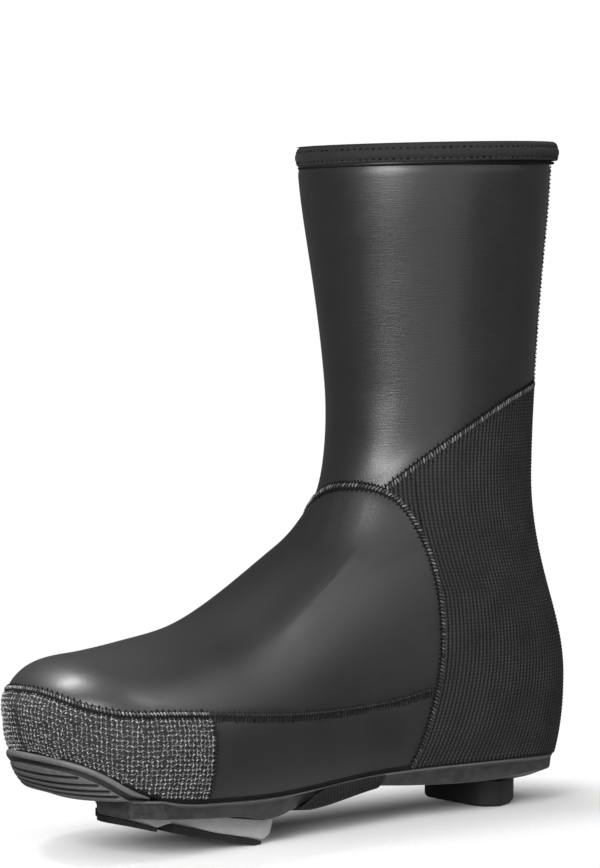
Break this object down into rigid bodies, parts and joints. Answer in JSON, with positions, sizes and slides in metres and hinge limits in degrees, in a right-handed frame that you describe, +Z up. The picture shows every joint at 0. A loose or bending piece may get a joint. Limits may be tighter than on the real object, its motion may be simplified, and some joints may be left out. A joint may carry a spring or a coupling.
{
  "type": "cycling overshoe",
  "caption": "High-cut cycling overshoe of coated stretch fabric, with woven toe panel and ribbed heel panel, on a stiff road-shoe sole with cleat and heel pad.",
  "frame": {"origin": "middle of the bounding box, on the floor under the shoe", "axes": "+X from toe to heel, +Y across to the outer side of the foot, +Z up from the floor to the collar"},
  "size_m": [0.2992, 0.1134, 0.295],
  "materials": {
    "laminate": "satin coated",
    "weave": "coarse woven",
    "rib_knit": "ribbed knit",
    "seam_thread": "stitched",
    "cuff_band": "matt",
    "carbon_plate": "brushed composite",
    "grey_rubber": "moulded",
    "cleat_grey": "moulded",
    "black_rubber": "moulded",
    "footbed": "felted"
  },
  "bodies": {
    "root": {"upper": "laminate", "toe_panel": "weave", "heel_panel": "rib_knit", "instep_seam": "seam_thread", "side_seam": "seam_thread", "heel_seam": "seam_thread", "back_seam": "seam_thread", "cuff": "cuff_band", "arch_strap": "rib_knit", "sole_plate": "carbon_plate", "toe_bumper": "grey_rubber", "cleat_body": "cleat_grey", "cleat_front_pad": "black_rubber", "cleat_rear_pad": "black_rubber", "heel_pad": "black_rubber", "insole": "footbed"}
  },
  "joints": []
}
